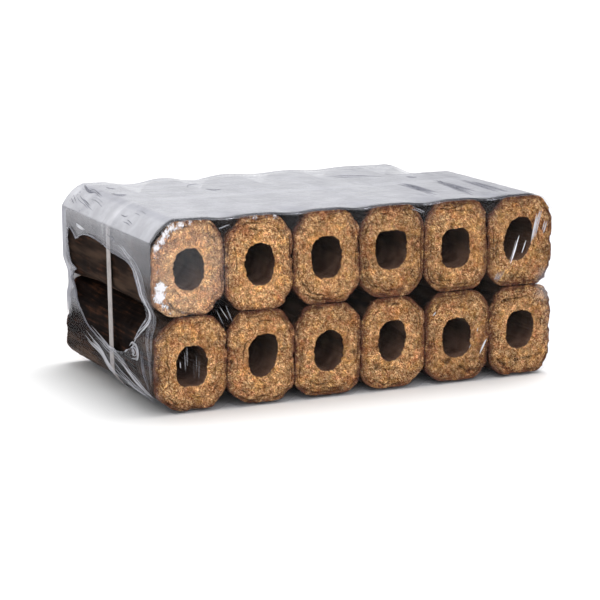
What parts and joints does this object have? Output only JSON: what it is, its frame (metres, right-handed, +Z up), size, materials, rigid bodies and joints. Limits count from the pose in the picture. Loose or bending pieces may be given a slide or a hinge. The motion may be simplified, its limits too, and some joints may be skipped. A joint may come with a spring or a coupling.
{
  "type": "wood briquette pack",
  "caption": "Bundle of octagonal pressed-wood heat logs with lengthwise holes, stacked in rows, strapped and wrapped in a clear shrink-film sleeve that is open at both side ends.",
  "frame": {"origin": "middle of the pack's underside, on the surface it rests on", "axes": "+X along the rows, to the right as seen from the front; +Y from the front log ends to the back ones; +Z up"},
  "size_m": [0.3442, 0.2054, 0.1482],
  "materials": {
    "pressed_wood": "rough, crumbly ends and scorched sides",
    "strap": "satin, slightly see-through",
    "film": "clear gloss shrink film"
  },
  "bodies": {
    "root": {"briquette_top_1": "pressed_wood", "briquette_top_2": "pressed_wood", "briquette_top_3": "pressed_wood", "briquette_top_4": "pressed_wood", "briquette_top_5": "pressed_wood", "briquette_top_6": "pressed_wood", "briquette_bottom_1": "pressed_wood", "briquette_bottom_2": "pressed_wood", "briquette_bottom_3": "pressed_wood", "briquette_bottom_4": "pressed_wood", "briquette_bottom_5": "pressed_wood", "briquette_bottom_6": "pressed_wood", "strap": "strap", "film_wrap": "film"}
  },
  "joints": []
}
